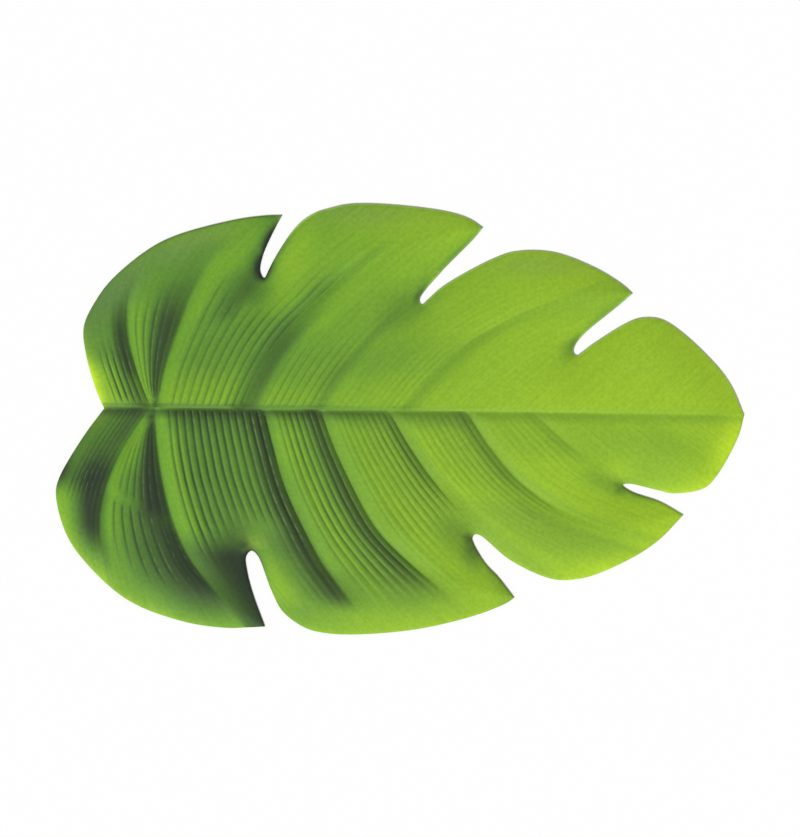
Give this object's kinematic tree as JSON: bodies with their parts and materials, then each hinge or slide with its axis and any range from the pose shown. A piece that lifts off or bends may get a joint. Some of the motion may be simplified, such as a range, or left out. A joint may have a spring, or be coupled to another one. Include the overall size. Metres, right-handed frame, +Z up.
{
  "type": "monstera leaf",
  "caption": "Broad lobed monstera leaf lying flat, with deep narrow notches, a sunken midrib with a keel below, sweeping lateral veins and fine ribs.",
  "frame": {"origin": "middle of the bounding box at its bottom, the surface that the leaf lies on", "axes": "+X from the leaf base toward the leaf tip along the midrib, +Y across the blade, +Z up out of the upper face"},
  "size_m": [0.45, 0.2824, 0.0061],
  "materials": {
    "leaf_green": "satin green leaf surface, darker grey-green along the creases and in the lobes near the leaf base"
  },
  "bodies": {
    "root": {"leaf": "leaf_green"}
  },
  "joints": []
}
